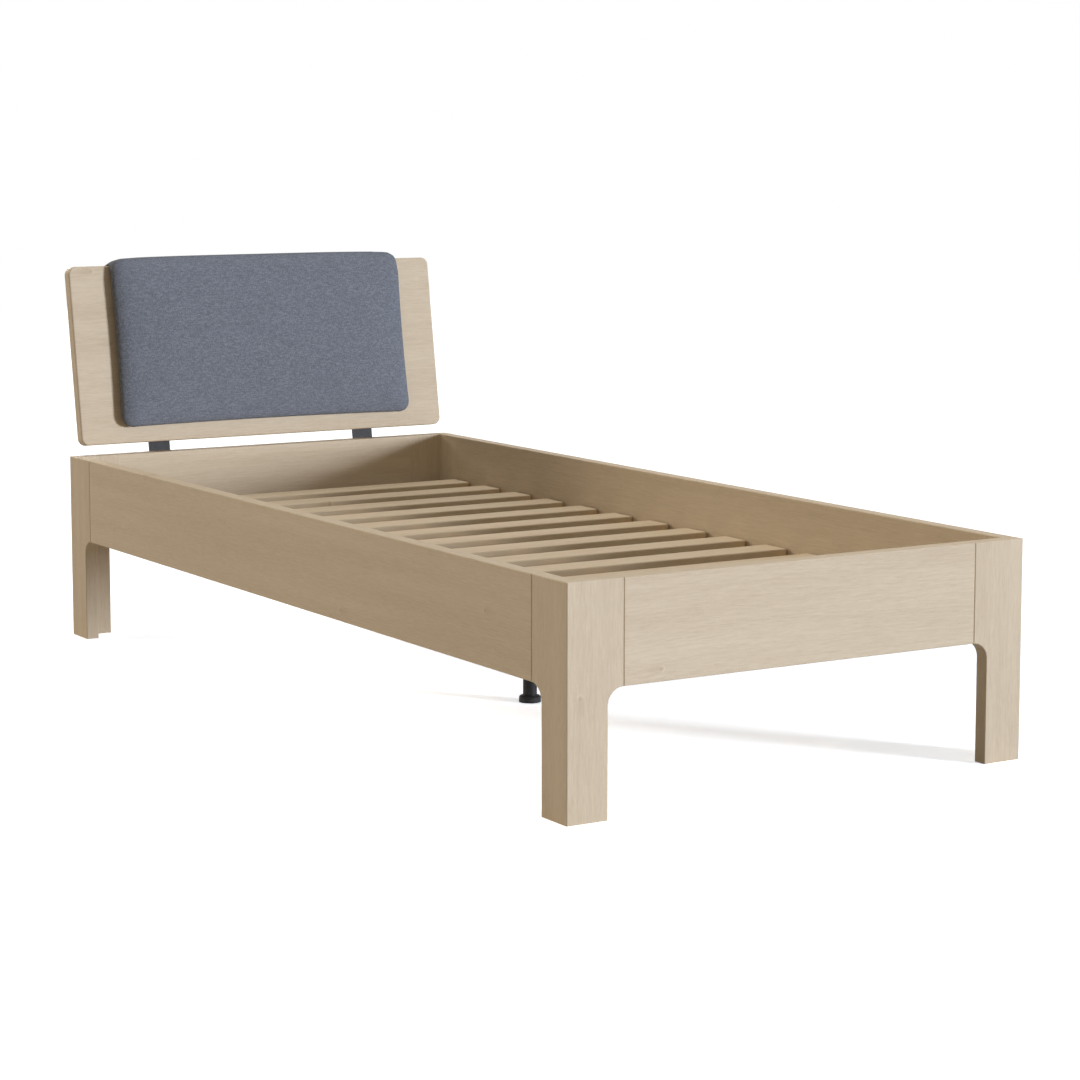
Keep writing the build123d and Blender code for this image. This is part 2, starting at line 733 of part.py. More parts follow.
with BuildPart() as cushion:
    with BuildSketch(slope.offset(-flap_back)) as roll_outline:
        with Locations((0, roll_bottom)):
            Rectangle(roll_width, roll_top - roll_bottom, align=(Align.CENTER, Align.MIN))
        fillet(roll_outline.vertices().group_by(Axis.Y)[-1], cushion_corner)
    extrude(amount=flap_back + panel_thickness + cushion_thickness / 2)
    back_face = cushion.faces().sort_by(Axis(slope.origin, slope.z_dir))[0]
    fillet(back_face.edges(), roll_radius)
    with BuildSketch(slope.offset(-cushion_fit)):
        with Locations((0, seat_top)):
            Rectangle(cushion_width, cushion_height, align=(Align.CENTER, Align.MAX))
    extrude(amount=pad_front, mode=Mode.SUBTRACT)
    pad_depth = pad_front - pad_back
    pad_sections = [(pad_back + share * pad_depth, inset) for share, inset in cushion_steps]
    pad_sections.append((pad_front + cushion_crown, cushion_crown_inset))
    for forward, inset in pad_sections:
        side_x = cushion_width / 2 - inset
        low = roll_top - cushion_height + inset
        high = roll_top - inset
        middle = (low + high) / 2
        with BuildSketch(slope.offset(forward)) as section:
            with BuildLine():
                ThreePointArc((-side_x, low), (0, low + cushion_draw), (side_x, low))
                ThreePointArc((side_x, low), (side_x - cushion_draw, middle), (side_x, high))
                Line((side_x, high), (-side_x, high))
                ThreePointArc((-side_x, high), (cushion_draw - side_x, middle), (-side_x, low))
            make_face()
            fillet(section.vertices(), cushion_corner)
    loft(ruled=True)
keep(cushion, "headboard_cushion")
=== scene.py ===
"""Looks of a single bed: whitened oak frame, slatted base, leaning headboard and the cushion hung on it.

Metres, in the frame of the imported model: X across the bed, Y from the foot end to the head end, Z up.
"""

import logging
import math
from dataclasses import dataclass, field
from enum import Enum
from typing import Sequence

import bmesh
import bpy
from mathutils import Matrix, Vector


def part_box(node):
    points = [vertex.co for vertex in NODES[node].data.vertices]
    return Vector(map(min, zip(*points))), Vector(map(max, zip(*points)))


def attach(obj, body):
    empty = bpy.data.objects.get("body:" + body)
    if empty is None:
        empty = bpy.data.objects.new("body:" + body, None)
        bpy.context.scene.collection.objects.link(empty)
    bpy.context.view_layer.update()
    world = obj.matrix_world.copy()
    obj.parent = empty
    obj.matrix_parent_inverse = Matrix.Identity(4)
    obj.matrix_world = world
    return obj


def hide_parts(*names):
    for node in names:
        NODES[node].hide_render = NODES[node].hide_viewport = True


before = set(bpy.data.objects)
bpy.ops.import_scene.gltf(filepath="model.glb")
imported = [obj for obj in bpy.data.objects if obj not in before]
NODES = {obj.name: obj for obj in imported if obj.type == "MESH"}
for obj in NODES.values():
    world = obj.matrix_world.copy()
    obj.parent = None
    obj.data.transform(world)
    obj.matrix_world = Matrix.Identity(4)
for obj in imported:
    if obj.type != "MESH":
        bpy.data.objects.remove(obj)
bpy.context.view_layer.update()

MM = 0.001
WELD = 0.01 * MM
SHARP_EDGE = math.radians(60.0)
DRIVE_TURN = math.radians(137.5)
HERE = Matrix.Identity(4)

log = logging.getLogger("bed")

Colour = tuple[float, float, float]
Finish = bpy.types.Material
Shape = bmesh.types.BMesh
Socket = bpy.types.NodeSocket


class Cut(Enum):
    """How a board is cut: the axes that its grain, its width and its thickness run along."""

    ACROSS_BED = ("X", "Z", "Y")
    ALONG_BED = ("Y", "Z", "X")
    UPRIGHT_END = ("Z", "X", "Y")
    UPRIGHT_SIDE = ("Z", "Y", "X")
    FLAT_ACROSS = ("X", "Y", "Z")
    FLAT_ALONG = ("Y", "X", "Z")


class Corner(Enum):
    """The four corners of the frame, as the nodes name them."""

    FOOT_LEFT = "foot_left"
    FOOT_RIGHT = "foot_right"
    HEAD_LEFT = "head_left"
    HEAD_RIGHT = "head_right"


class Graph:
    """The shader nodes of one material or sky, added one at a time and joined by their sockets."""

    def __init__(self, owner: Finish | bpy.types.World) -> None:
        """Start with no nodes.

        Args:
            owner: The material or sky that the nodes make up.
        """
        self.owner = owner
        owner.use_nodes = True
        self.tree = owner.node_tree
        self.tree.nodes.clear()

    def node(self, kind: str, inputs: dict | None = None, **settings: object) -> bpy.types.Node:
        """Add a node.

        Args:
            kind: The node's type name after "ShaderNode".
            inputs: Values or sockets for its inputs, by name or number.
            **settings: Properties of the node itself.

        Returns:
            The new node.
        """
        made = self.tree.nodes.new("ShaderNode" + kind)
        for key, value in settings.items():
            setattr(made, key, value)
        for key, value in (inputs or {}).items():
            self.join(made.inputs[key], value)
        return made

    def join(self, socket: Socket, value: object) -> None:
        """Link a socket to an output, or set its own value.

        Args:
            socket: The input.
            value: The output to link, or a plain value.
        """
        if isinstance(value, Socket):
            self.tree.links.new(value, socket)
        else:
            socket.default_value = value

    def math(self, operation: str, *terms: object) -> Socket:
        """Add a sum on numbers.

        Args:
            operation: Blender's name of the sum.
            *terms: Its numbers or sockets, in order.

        Returns:
            The result's socket.
        """
        return self.node("Math", dict(enumerate(terms)), operation=operation).outputs[0]

    def product(self, first: object, *others: object) -> Socket:
        """Multiply numbers or sockets, one after another.

        Args:
            first: The first of them.
            *others: The rest, in order.

        Returns:
            The product's socket.
        """
        for other in others:
            first = self.math("MULTIPLY", first, other)
        return first

    def plus(self, tone: object, mark: object, share: float) -> Socket:
        """Add a share of a mark to a tone."""
        return self.math("ADD", tone, self.product(mark, share))

    def centred(self, noise: Socket) -> Socket:
        """Shift a noise so that it lies about 0."""
        return self.math("SUBTRACT", noise, 0.5)

    def vector(self, x: object, y: object, z: object) -> Socket:
        """Join three numbers or sockets into a vector."""
        return self.node("CombineXYZ", {0: x, 1: y, 2: z}).outputs[0]

    def scaled(self, vector: Socket, by: Sequence[float]) -> Socket:
        """Multiply a vector, axis by axis."""
        return self.node("VectorMath", {0: vector, 1: by}, operation="MULTIPLY").outputs[0]

    def length(self, vector: Socket) -> Socket:
        """The length of a vector."""
        return self.node("VectorMath", {0: vector}, operation="LENGTH").outputs["Value"]

    def noise(self, vector: Socket, detail: float = 2.0, rough: float = 0.5) -> Socket:
        """Add a noise whose scale is already in its vector.

        Args:
            vector: Where to read it.
            detail: Octaves of finer noise.
            rough: Share that each octave keeps.

        Returns:
            The noise's value, about 0.5.
        """
        inputs = {"Vector": vector, "Scale": 1.0, "Detail": detail, "Roughness": rough}
        return self.node("TexNoise", inputs).outputs["Fac"]

    def remap(
        self, value: object, low: float, high: float, to_low: float = 0.0, to_high: float = 1.0
    ) -> Socket:
        """Carry a value smoothly from one range to another, held at both ends."""
        inputs = {0: value, 1: low, 2: high, 3: to_low, 4: to_high}
        return self.node("MapRange", inputs, interpolation_type="SMOOTHSTEP").outputs[0]

    def mix(self, share: object, first: object, second: object) -> Socket:
        """Mix two colours.

        Args:
            share: How much of the second shows.
            first: A colour of three numbers, or a socket.
            second: Likewise.

        Returns:
            The mixed colour's socket.
        """
        made = self.node("Mix", data_type="RGBA")
        for index, value in ((0, share), (6, first), (7, second)):
            self.join(made.inputs[index], (*value, 1.0) if isinstance(value, tuple) else value)
        return made.outputs[2]

    def bump(self, height: Socket, depth: float, strength: float = 1.0) -> Socket:
        """Add a bump of a real depth in metres."""
        inputs = {"Height": height, "Distance": depth, "Strength": strength}
        return self.node("Bump", inputs).outputs["Normal"]

    def surface(self, **inputs: object) -> Finish:
        """Close the graph with a principled surface.

        Args:
            **inputs: Its sockets, with spaces written as underscores.

        Returns:
            The finished material.
        """
        named = {key.replace("_", " "): value for key, value in inputs.items()}
        shader = self.node("BsdfPrincipled", named)
        self.node("OutputMaterial", {"Surface": shader.outputs[0]})
        return self.owner


@dataclass(frozen=True)
class Wood:
    """Sawn and sanded wood with fibres, broad growth bands, pores and a few small knots.

    Sizes in pairs run along the grain, then across it.
    """

    name: str
    pale: Colour
    dark: Colour
    knot_tone: Colour
    knots: float = 0.5
    roughness: float = 0.58
    roughness_spread: tuple[float, float] = (-0.06, 0.08)
    specular: float = 0.2
    base_tone: float = 0.45
    knot_spacing: tuple[float, float] = (0.42, 0.13)
    knot_radius: float = 4 * MM
    knot_strength: float = 0.22
    knot_rim: float = 0.7
    knot_core: float = 1.5
    knot_length: float = 1.25
    knot_tail: float = 4.0
    sway: float = 26 * MM
    sway_size: tuple[float, float] = (0.9, 0.17)
    band_size: tuple[float, float] = (0.8, 36 * MM)
    band_share: float = 0.55
    streak_size: tuple[float, float] = (62 * MM, 3.2 * MM)
    streak_share: float = 0.55
    fibre_size: tuple[float, float] = (24 * MM, 1.2 * MM)
    fibre_share: float = 0.75
    fibre_depth: float = 0.07 * MM
    pore_size: tuple[float, float] = (9 * MM, 0.55 * MM)
    pore_share: float = 0.20
    pore_span: tuple[float, float] = (0.60, 0.74)
    pore_depth: float = 0.8

    def knot_field(self, graph: Graph, along: Socket, width: Socket) -> tuple[Socket, ...]:
        """Scatter small knots, each a pin through the board's thickness.

        Args:
            graph: The material in the making.
            along: Place along the grain.
            width: Place across the grain.

        Returns:
            The core of a knot, its pale rim and its shaded tail, each from 0 to 1, and the grain's bend.
        """
        gap_along, gap_across = self.knot_spacing
        cell = graph.vector(
            graph.math("DIVIDE", along, gap_along), graph.math("DIVIDE", width, gap_across), 0.0
        )
        seeds = graph.node("TexVoronoi", {"Vector": cell, "Scale": 1.0}, voronoi_dimensions="2D").outputs
        apart = graph.node("VectorMath", {0: cell, 1: seeds["Position"]}, operation="SUBTRACT").outputs[0]
        apart = graph.scaled(apart, (gap_along, gap_across, 0.0))
        beside = graph.node("SeparateXYZ", {0: apart}).outputs
        chance = graph.node("SeparateColor", {0: seeds["Color"]}).outputs[0]
        there = graph.math("GREATER_THAN", self.knots, chance)

        # Every distance from a knot's middle is counted in its radius
        size = self.knot_radius
        round_knot = graph.length(graph.scaled(apart, (1 / self.knot_length, 1.0, 0.0)))
        long_knot = graph.length(graph.scaled(apart, (1 / self.knot_tail, 1.0, 0.0)))
        core = graph.product(graph.remap(round_knot, 0.4 * size, 1.2 * size, 1.0, 0.0), there)
        rim = graph.product(
            graph.remap(round_knot, 0.7 * size, 1.1 * size),
            graph.remap(round_knot, 1.2 * size, 1.9 * size, 1.0, 0.0),
            graph.remap(beside[0], -0.2 * size, 0.8 * size),
            there,
        )
        tail = graph.product(
            graph.remap(long_knot, 0.5 * size, 3.0 * size, 1.0, 0.0),
            graph.remap(beside[0], -2.0 * size, size, 1.0, 0.0),
            there,
        )
        bend = graph.product(
            graph.remap(long_knot, 0.0, 6.0 * size, 1.0, 0.0),
            there,
            graph.remap(beside[1], -size, size, -size, size),
        )
        return core, rim, tail, bend

    def stretched(self, graph: Graph, grain: Socket, size: tuple[float, float]) -> Socket:
        """Scale the grain's own coordinates to marks of one size."""
        return graph.scaled(grain, (1 / size[0], 1 / size[1], 1 / size[1]))

    def material(self, cut: Cut) -> Finish:
        """Make the finish for boards of one cut.

        Args:
            cut: The axes of grain, width and thickness.

        Returns:
            The material.
        """
        graph = Graph(bpy.data.materials.new(f"{self.name}_{cut.name.lower()}"))
        place = graph.node("TexCoord").outputs["Object"]
        parts = graph.node("SeparateXYZ", {0: place}).outputs
        along, width, thick = (parts["XYZ".index(axis)] for axis in cut.value)
        core, rim, tail, bend = self.knot_field(graph, along, width)

        # Grain that wanders across the board and flows round the knots
        drift = graph.noise(self.stretched(graph, graph.vector(along, width, thick), self.sway_size))
        sway = graph.product(graph.centred(drift), self.sway)
        bent = graph.math("ADD", width, graph.math("ADD", sway, bend))
        grain = graph.vector(along, bent, thick)

        bands = graph.noise(self.stretched(graph, grain, self.band_size), 3.0)
        streaks = graph.noise(self.stretched(graph, grain, self.streak_size), 2.0, 0.6)
        fibres = graph.noise(self.stretched(graph, grain, self.fibre_size), 3.0, 0.65)
        pores = graph.noise(self.stretched(graph, grain, self.pore_size), 1.0)
        pore = graph.remap(pores, *self.pore_span)

        tone: object = self.base_tone
        marks = (
            (graph.centred(bands), self.band_share),
            (graph.centred(streaks), self.streak_share),
            (graph.centred(fibres), self.fibre_share),
            (pore, self.pore_share),
            (tail, self.knot_strength),
            (rim, -self.knot_rim * self.knot_strength),
        )
        for mark, share in marks:
            tone = graph.plus(tone, mark, share)
        colour = graph.mix(graph.remap(tone, 0.0, 1.0), self.pale, self.dark)
        colour = graph.mix(graph.product(core, self.knot_core * self.knot_strength), colour, self.knot_tone)

        height = graph.math("SUBTRACT", fibres, graph.product(pore, self.pore_depth))
        sleek, dull = (self.roughness + spread for spread in self.roughness_spread)
        gloss = graph.remap(fibres, 0.3, 0.7, sleek, dull)
        return graph.surface(
            Base_Color=colour,
            Roughness=gloss,
            Specular_IOR_Level=self.specular,
            Normal=graph.bump(height, self.fibre_depth),
        )


@dataclass(frozen=True)
class Melange:
    """A plain-woven upholstery cloth of mixed light and dark yarns, uneven along their length.

    Every yarn changes tone along its own length, whatever its neighbours do.
    """

    name: str
    light_yarn: Colour
    dark_yarn: Colour
    pitch: float = 2.2 * MM
    warp_slub: float = 6.5 * MM
    weft_slub: float = 11 * MM
    yarn_step: float = 5.3
    weft_shade: float = 0.05
    waver_size: float = 11 * MM
    waver: float = 0.5
    crossing: float = 0.25
    tone_span: tuple[float, float] = (0.34, 0.66)
    roughness: float = 0.88
    weave_depth: float = 0.35 * MM
    weave_strength: float = 0.6

    def material(self, uv_map: str) -> Finish:
        """Make the cloth on a piece's own flat map.

        Args:
            uv_map: The map, in metres along the two yarns.

        Returns:
            The material.
        """
        graph = Graph(bpy.data.materials.new(self.name))
        flat = graph.node("UVMap", uv_map=uv_map).outputs[0]
        across, up, _ = graph.node("SeparateXYZ", {0: flat}).outputs
        waver = graph.noise(graph.scaled(flat, (1 / self.waver_size, 1 / self.waver_size, 0.0)), 1.0)
        waver = graph.product(graph.centred(waver), self.waver * self.pitch)
        warp_place = graph.math("DIVIDE", graph.math("ADD", across, waver), self.pitch)
        weft_place = graph.math("DIVIDE", graph.math("ADD", up, waver), self.pitch)
        warp = graph.math("SINE", graph.product(warp_place, math.pi))
        weft = graph.math("SINE", graph.product(weft_place, math.pi))
        over = graph.remap(graph.product(warp, weft), -self.crossing, self.crossing)

        warp_row = graph.product(graph.math("FLOOR", warp_place), self.yarn_step)
        weft_row = graph.product(graph.math("FLOOR", weft_place), self.yarn_step)
        warp_run = graph.math("DIVIDE", up, self.warp_slub)
        weft_run = graph.math("DIVIDE", across, self.weft_slub)
        warp_tone = graph.noise(graph.vector(warp_row, warp_run, 0.0), 1.0)
        weft_tone = graph.noise(graph.vector(weft_run, weft_row, self.yarn_step), 1.0)
        weft_tone = graph.math("SUBTRACT", weft_tone, self.weft_shade)
        tone = graph.node("Mix", {0: over, 2: weft_tone, 3: warp_tone}).outputs[0]
        light = graph.remap(tone, *self.tone_span)

        warp_crest, weft_crest = (graph.math("ABSOLUTE", wave) for wave in (warp, weft))
        crest = graph.node("Mix", {0: over, 2: weft_crest, 3: warp_crest}).outputs[0]
        return graph.surface(
            Base_Color=graph.mix(light, self.dark_yarn, self.light_yarn),
            Roughness=self.roughness,
            Specular_IOR_Level=0.0,
            Normal=graph.bump(crest, self.weave_depth, self.weave_strength),
        )


@dataclass(frozen=True)
class Webbing:
    """A flat woven tape with wavy ribs across it, darkened in the grooves between the ribs with painted
    shading.
    """

    name: str
    yarn: Colour
    painted_groove_shade: Colour
    rib_pitch: float = 1.6 * MM
    rib_depth: float = 0.3 * MM
    rib_strength: float = 0.5
    fuzz_scale: float = 900.0
    fuzz_share: float = 0.3
    roughness: float = 0.9
    specular: float = 0.2

    def material(self) -> Finish:
        """Make the tape's finish.

        Returns:
            The material.
        """
        graph = Graph(bpy.data.materials.new(self.name))
        place = graph.node("TexCoord").outputs["Object"]
        parts = graph.node("SeparateXYZ", {0: place}).outputs
        along = graph.product(parts[1], 2 * math.pi / self.rib_pitch)
        across = graph.product(parts[0], 2 * math.pi / self.rib_pitch)
        twill = graph.math("SINE", graph.math("ADD", along, graph.math("SINE", across)))
        fuzz = graph.noise(graph.scaled(place, (self.fuzz_scale,) * 3), 2.0)
        # Painted shading: the colour goes towards the darker groove colour where the rib height is low, plus
        # a share of random fuzz tone in the yarn
        share = graph.plus(graph.remap(twill, -1.0, 1.0, 0.0, 1 - self.fuzz_share), fuzz, self.fuzz_share)
        return graph.surface(
            Base_Color=graph.mix(share, self.painted_groove_shade, self.yarn),
            Roughness=self.roughness,
            Specular_IOR_Level=self.specular,
            Normal=graph.bump(twill, self.rib_depth, self.rib_strength),
        )


@dataclass(frozen=True)
class HardFinish:
    """An even, hard finish: plated or powder-coated steel, or moulded plastic."""

    name: str
    base: Colour
    mottle: Colour
    metallic: float
    roughness: float
    grain: float
    depth: float
    specular: float = 0.5
    cloud_size: float = 14.0
    roughness_spread: tuple[float, float] = (-0.07, 0.09)

    def material(self) -> Finish:
        """Make the finish.

        Returns:
            The material.
        """
        graph = Graph(bpy.data.materials.new(self.name))
        place = graph.node("TexCoord").outputs["Object"]
        peel = graph.noise(graph.scaled(place, (self.grain,) * 3), 3.0)
        cloud = graph.noise(graph.scaled(place, (self.grain / self.cloud_size,) * 3), 2.0)
        sleek, dull = (self.roughness + spread for spread in self.roughness_spread)
        return graph.surface(
            Base_Color=graph.mix(graph.remap(cloud, 0.35, 0.65), self.base, self.mottle),
            Metallic=self.metallic,
            Roughness=graph.remap(peel, 0.3, 0.7, sleek, dull),
            Specular_IOR_Level=self.specular,
            Normal=graph.bump(peel, self.depth),
        )


OAK = Wood(
    "oak",
    pale=(0.675, 0.572, 0.430),
    dark=(0.516, 0.414, 0.288),
    knot_tone=(0.36, 0.26, 0.16),
)
BIRCH = Wood(
    "slat_birch",
    pale=(0.700, 0.590, 0.430),
    dark=(0.560, 0.440, 0.295),
    knot_tone=(0.40, 0.27, 0.15),
    knots=0.25,
)
PINE = Wood(
    "pine",
    pale=(0.680, 0.540, 0.350),
    dark=(0.500, 0.345, 0.185),
    knot_tone=(0.27, 0.14, 0.06),
    knot_strength=0.7,
    knot_radius=7 * MM,
    band_size=(0.9, 14 * MM),
)
BEECH = Wood(
    "beech",
    pale=(0.620, 0.470, 0.320),
    dark=(0.480, 0.340, 0.215),
    knot_tone=(0.36, 0.24, 0.14),
    knots=0.0,
)
POWDER_COAT = HardFinish(
    "black_powder_coat",
    base=(0.011, 0.011, 0.011),
    mottle=(0.017, 0.017, 0.017),
    metallic=0.0,
    roughness=0.52,
    grain=900.0,
    depth=0.05 * MM,
    specular=0.25,
)
BLACK_OXIDE = HardFinish(
    "black_oxide",
    base=(0.020, 0.020, 0.021),
    mottle=(0.036, 0.035, 0.034),
    metallic=0.7,
    roughness=0.40,
    grain=1500.0,
    depth=0.02 * MM,
)
ZINC = HardFinish(
    "zinc_plate",
    base=(0.62, 0.63, 0.64),
    mottle=(0.50, 0.51, 0.52),
    metallic=1.0,
    roughness=0.32,
    grain=700.0,
    depth=0.02 * MM,
)
MOULDED = HardFinish(
    "black_plastic",
    base=(0.013, 0.013, 0.013),
    mottle=(0.018, 0.018, 0.018),
    metallic=0.0,
    roughness=0.58,
    grain=1600.0,
    depth=0.04 * MM,
    specular=0.3,
)
CLOTH = Melange(
    "blue_grey_melange",
    light_yarn=(0.230, 0.247, 0.288),
    dark_yarn=(0.144, 0.157, 0.185),
)
# The tape's second colour is painted shading for the grooves between its ribs.
TAPE_WEAVE = Webbing("ecru_webbing", yarn=(0.62, 0.57, 0.48), painted_groove_shade=(0.36, 0.32, 0.26))


def dress(names: Sequence[str], material: Finish) -> None:
    """Give CAD nodes a finish.

    Args:
        names: The nodes.
        material: Their finish.
    """
    for name in names:
        mesh = NODES[name].data
        mesh.materials.clear()
        mesh.materials.append(material)
    log.info("%s: %s", material.name, ", ".join(names))


def piece(name: str, mesh: Shape, material: Finish, smooth: bool = True) -> bpy.types.Object:
    """Turn a bmesh into a finished piece at the origin.

    Args:
        name: The piece's name.
        mesh: Its shape, in the frame; it is freed here.
        material: Its finish.
        smooth: Whether its faces are shaded as one skin.

    Returns:
        The new object.
    """
    data = bpy.data.meshes.new(name)
    mesh.to_mesh(data)
    mesh.free()
    data.polygons.foreach_set("use_smooth", [smooth] * len(data.polygons))
    data.materials.append(material)
    made = bpy.data.objects.new(name, data)
    bpy.context.scene.collection.objects.link(made)
    log.info("piece %s: %d faces", name, len(data.polygons))
    return made


def solids(node: str) -> list[list[Vector]]:
    """Part the separate solids in one CAD node.

    Args:
        node: The node's name.

    Returns:
        The corner points of each solid.
    """
    mesh = bmesh.new()
    mesh.from_mesh(NODES[node].data)
    bmesh.ops.remove_doubles(mesh, verts=mesh.verts, dist=WELD)
    groups, seen = [], set()
    for start in mesh.verts:
        if start in seen:
            continue
        seen.add(start)
        group, fresh = [start], [start]
        while fresh:
            near = [edge.other_vert(vert) for vert in fresh for edge in vert.link_edges]
            fresh = [vert for vert in dict.fromkeys(near) if vert not in seen]
            seen.update(fresh)
            group += fresh
        groups.append([vert.co.copy() for vert in group])
    mesh.free()
    return groups


def close(mesh: Shape) -> None:
    """Fill the open ends of a shape and turn its faces outwards."""
    bmesh.ops.holes_fill(mesh, edges=[edge for edge in mesh.edges if edge.is_boundary])
    bmesh.ops.recalc_face_normals(mesh, faces=mesh.faces)


def add(mesh: Shape, shape: Shape, place: Matrix = HERE) -> None:
    """Put a copy of a shape into a mesh, and free the shape.

    Args:
        mesh: The mesh that grows.
        shape: What goes in.
        place: Where it goes.
    """
    bmesh.ops.transform(shape, matrix=place, verts=shape.verts)
    data = bpy.data.meshes.new("shape")
    shape.to_mesh(data)
    shape.free()
    mesh.from_mesh(data)
    bpy.data.meshes.remove(data)


def extent(points: Sequence[Vector]) -> tuple[Vector, Vector]:
    """Find how far some points reach.

    Args:
        points: The points.

    Returns:
        The lowest and the highest corner of their box.
    """
    low = Vector([min(point[axis] for point in points) for axis in range(3)])
    high = Vector([max(point[axis] for point in points) for axis in range(3)])
    return low, high


def split(mesh: Shape, place: Sequence[float], facing: Sequence[float], clear: bool) -> None:
    """Cut a mesh along a plane.

    Args:
        mesh: The mesh.
        place: A point of the plane.
        facing: The way that the plane faces.
        clear: Whether all that lies before the plane goes.
    """
    every = mesh.verts[:] + mesh.edges[:] + mesh.faces[:]
    bmesh.ops.bisect_plane(mesh, geom=every, plane_co=place, plane_no=facing, clear_outer=clear)


def ease(mesh: Shape, edges: list[bmesh.types.BMEdge], offset: float, segments: int) -> None:
    """Take the sharpness off some edges.

    Args:
        mesh: The mesh.
        edges: Its sharp edges.
        offset: How far the bevel reaches.
        segments: Its steps.
    """
    bmesh.ops.bevel(
        mesh, geom=edges, offset=offset, segments=segments, profile=0.5, affect="EDGES", material=-1
    )


def turn_outline(mesh: Shape, outline: Sequence[tuple[float, float]]) -> None:
    """Draw the rim of a round plate out along a turned outline.

    Args:
        mesh: The plate, on the Z axis.
        outline: Radius and height of each ring in turn.
    """
    ring = mesh.edges[:]
    for radius, height in outline:
        grown = bmesh.ops.extrude_edge_only(mesh, edges=ring)["geom"]
        ring = [part for part in grown if isinstance(part, bmesh.types.BMEdge)]
        for vert in (part for part in grown if isinstance(part, bmesh.types.BMVert)):
            flat = vert.co.to_2d().normalized() * radius
            vert.co = (flat.x, flat.y, height)


@dataclass(frozen=True)
class Thread:
    """A V-shaped screw thread about the Z axis."""

    crest: float
    root: float
    pitch: float
    steps: int
    spare_turns: int = 2

    def wind(self, mesh: Shape, low: float, high: float) -> None:
        """Add a closed threaded rod.

        Args:
            mesh: Where it goes.
            low: Height of its lower end.
            high: Height of its upper end.
        """
        rod = bmesh.new()
        turns = math.ceil((high - low) / self.pitch) + self.spare_turns
        outline = ((self.root, 0.0), (self.crest, -self.pitch / 2), (self.root, -self.pitch))
        points = [rod.verts.new((radius, 0.0, high + self.pitch + drop)) for radius, drop in outline]
        lines = [rod.edges.new(pair) for pair in zip(points, points[1:])]
        bmesh.ops.spin(
            rod,
            geom=points + lines,
            axis=(0.0, 0.0, 1.0),
            dvec=(0.0, 0.0, -self.pitch / self.steps),
            angle=2 * math.pi * turns,
            steps=self.steps * turns,
        )
        bmesh.ops.remove_doubles(rod, verts=rod.verts, dist=WELD)
        for height, way in ((low, -1.0), (high, 1.0)):
            split(rod, (0.0, 0.0, height), (0.0, 0.0, way), clear=True)
        close(rod)
        add(mesh, rod)


class HeadForm(Enum):
    """Screw heads: their outline below the top face, as shares of the head's radius and of its height."""

    COUNTERSUNK = (1.0, ((0.5, 1.0),))
    PAN = (0.7, ((0.85, 0.07), (0.96, 0.24), (1.0, 0.5), (1.0, 1.0)))


@dataclass(frozen=True)
class WoodScrew:
    """A screw with a cross recess, a thread and a point, standing head up on the Z axis."""

    form: HeadForm
    head_radius: float = 5 * MM
    head_height: float = 2.5 * MM
    neck: float = 0.8
    thread: Thread = Thread(crest=2.5 * MM, root=1.7 * MM, pitch=2.2 * MM, steps=12)
    point: float = 4 * MM
    segments: int = 24
    recess_inset: float = 0.3
    arm_length: float = 2.5 * MM
    arm_half: float = 0.6 * MM
    recess_depth: float = 1.7 * MM
    recess_taper: float = 0.2 * MM

    def cross_point(self, angle: float) -> tuple[float, float]:
        """Place a point of the round top on the outline of the cross recess.

        Args:
            angle: The point's own angle.

        Returns:
            Its place on the cross.
        """
        per_quarter = self.segments // 4
        step = round(angle / (2 * math.pi) * self.segments)
        quarter, step = divmod(step, per_quarter)
        half, arm = self.arm_half, self.arm_length
        middle = (half + arm) / 2
        outline = ((arm, 0.0), (arm, half), (middle, half), (half, half), (half, middle), (half, arm))
        x, y = outline[step]
        for _ in range(quarter % 4):
            x, y = -y, x
        return x, y

    def head(self) -> Shape:
        """Model the head with its recess.

        Returns:
            The head, its top at Z 0.
        """
        top_share, outline = self.form.value
        radius, height = self.head_radius, self.head_height
        mesh = bmesh.new()
        bmesh.ops.create_circle(mesh, cap_ends=True, segments=self.segments, radius=top_share * radius)
        top = mesh.faces[:]
        turn_outline(mesh, [(share * radius, -drop * height) for share, drop in outline])
        bmesh.ops.inset_region(mesh, faces=top, thickness=self.recess_inset * radius)
        for vert in top[0].verts:
            angle = math.atan2(vert.co.y, vert.co.x) % (2 * math.pi)
            vert.co.x, vert.co.y = self.cross_point(angle)
        bmesh.ops.inset_region(mesh, faces=top, thickness=self.recess_taper, depth=-self.recess_depth)
        close(mesh)
        return mesh

    def model(self, length: float) -> Shape:
        """Model a whole screw.

        Args:
            length: From the top of its head to its point.

        Returns:
            The screw, pointing down from Z 0.
        """
        mesh = self.head()
        shank = bmesh.new()
        self.thread.wind(shank, -length, -self.neck * self.head_height)
        for vert in shank.verts:
            share = min(1.0, (vert.co.z + length) / self.point)
            vert.co.x *= share
            vert.co.y *= share
        bmesh.ops.remove_doubles(shank, verts=shank.verts, dist=WELD)
        add(mesh, shank)
        return mesh

    def replace(self, node: str, finish: Finish) -> None:
        """Put real screws where the solids of a CAD node are.

        Args:
            node: The node.
            finish: The screws' finish.
        """
        mesh = bmesh.new()
        for index, points in enumerate(solids(node)):
            low, high = extent(points)
            axis = max(range(3), key=lambda side: high[side] - low[side])
            middle = (low + high) / 2
            ends = []
            for end in (low[axis], high[axis]):
                tip = middle.copy()
                tip[axis] = end
                ring = [point for point in points if abs(point[axis] - end) < WELD]
                ends.append((max((point - tip).length for point in ring), tip))
            (_, tip), (_, top) = sorted(ends, key=lambda end: end[0])
            turn = (top - tip).to_track_quat("Z", "Y").to_matrix().to_4x4()
            turn = turn @ Matrix.Rotation(index * DRIVE_TURN, 4, "Z")
            add(mesh, self.model((top - tip).length), Matrix.Translation(top) @ turn)
        made = piece(f"{node}_cross_recess", mesh, finish, smooth=False)
        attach(made, "frame")
        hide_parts(node)


